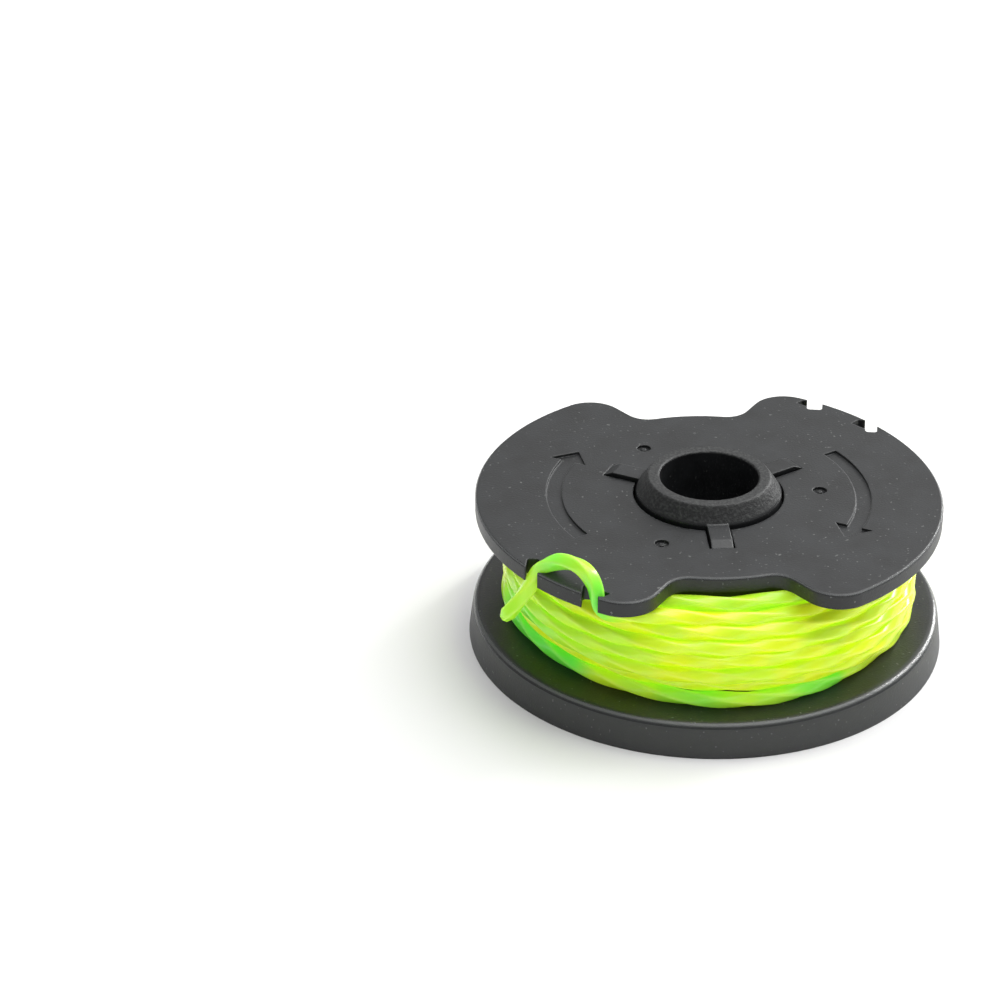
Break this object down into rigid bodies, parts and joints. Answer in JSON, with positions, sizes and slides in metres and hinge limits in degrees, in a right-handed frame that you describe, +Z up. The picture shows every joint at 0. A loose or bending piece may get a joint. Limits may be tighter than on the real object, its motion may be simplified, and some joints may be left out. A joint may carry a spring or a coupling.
{
  "type": "trimmer line spool",
  "caption": "Black moulded spool with a round flange, a lobed keyed flange and a tapered collar, wound with fluorescent twisted trimmer line whose end is clipped through two rim notches.",
  "frame": {"origin": "on the spool's axis, at the floor under the round flange's rim", "axes": "+Z up along the bore's axis, +X and -X through the two lobes of the upper flange, +Y and -Y through its two recesses"},
  "size_m": [0.066, 0.066, 0.0253],
  "materials": {
    "black_nylon": "moulded glass-filled nylon, fine matt grain",
    "line_nylon": "extruded and twisted nylon, fluorescent yellow-green, slightly see-through"
  },
  "bodies": {
    "root": {"spool_body": "black_nylon", "upper_flange": "black_nylon", "wound_line": "line_nylon", "line_end": "line_nylon"}
  },
  "joints": []
}
